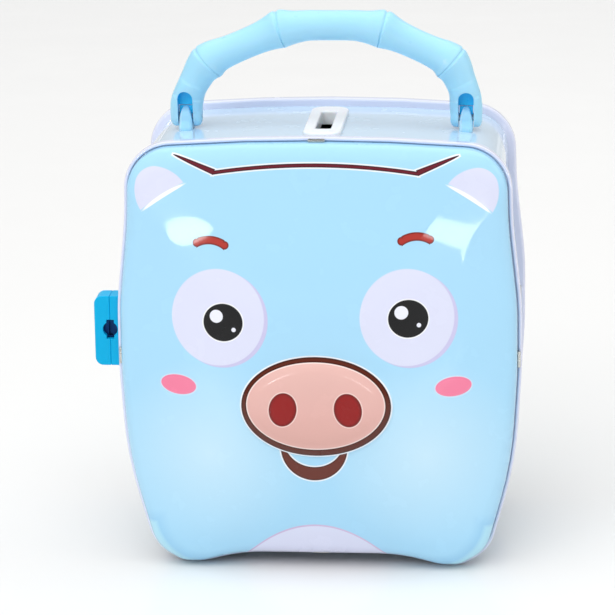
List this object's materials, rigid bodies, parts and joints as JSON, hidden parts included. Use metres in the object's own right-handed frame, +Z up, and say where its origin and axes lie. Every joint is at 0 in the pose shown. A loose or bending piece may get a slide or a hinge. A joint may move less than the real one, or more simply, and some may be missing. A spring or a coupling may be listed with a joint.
{
  "type": "tin money box",
  "caption": "Upright tin money box shaped as a pig's head, with a hinged bulging front door, a side lock, a coin slot in the top and a swinging carrying handle.",
  "frame": {"origin": "on the ground under the middle of the whole object's bounding box", "axes": "+X to the right seen from the front, +Y to the rear so that the face looks along -Y, +Z up"},
  "size_m": [0.1278, 0.0841, 0.164],
  "materials": {
    "face_tin": "glossy light blue enamel on tinplate, printed with a pig's face, the snout embossed",
    "panel_tin": "glossy light blue enamel on tinplate",
    "band_tin": "glossy pale blue enamel on tinplate",
    "rim_tin": "glossy lilac-white enamel on a rolled tinplate bead",
    "white_plastic": "glossy white moulded plastic",
    "sky_plastic": "semi-gloss sky-blue moulded plastic",
    "blue_plastic": "semi-gloss saturated blue moulded plastic",
    "lock_metal": "dark cast barrel",
    "bare_steel": "plain plated steel",
    "bare_tin": "bare bent tinplate"
  },
  "bodies": {
    "case": {"side_band": "band_tin", "rear_rim": "rim_tin", "rear_panel": "panel_tin", "coin_slot_bezel": "white_plastic", "handle_lug_left": "sky_plastic", "handle_lug_right": "sky_plastic", "lug_spring_plates": "bare_steel", "lock_case_inner": "blue_plastic", "lock_case_outer": "blue_plastic", "lock_screws": "bare_steel", "hinge_leaf_case": "bare_steel", "hinge_rivets": "bare_steel", "hinge_pin": "bare_steel"},
    "door": {"door_rim": "rim_tin", "face_panel": "face_tin", "face_clips": "bare_tin", "hinge_leaf_door": "bare_steel", "catch_bracket": "bare_steel", "catch_rivets": "bare_steel"},
    "lock": {"lock_barrel": "lock_metal", "lock_cam": "bare_steel", "cam_screw": "bare_steel"},
    "handle": {"handle_grip": "sky_plastic", "handle_pins": "bare_steel"}
  },
  "joints": [
    {"name": "door_swing", "type": "hinge", "parent": "case", "child": "door", "pos_m": [0.06255, -0.02145, 0.072], "axis": [0, 0, 1], "range_deg": [0, 110]},
    {"name": "lock_turn", "type": "hinge", "parent": "case", "child": "lock", "pos_m": [-0.0592, -0.01825, 0.0717], "axis": [0, 1, 0], "range_deg": [0, 90]},
    {"name": "handle_swing", "type": "hinge", "parent": "case", "child": "handle", "pos_m": [0.0038, 0.00435, 0.1315], "axis": [1, 0, 0], "range_deg": [-75, 75]}
  ]
}
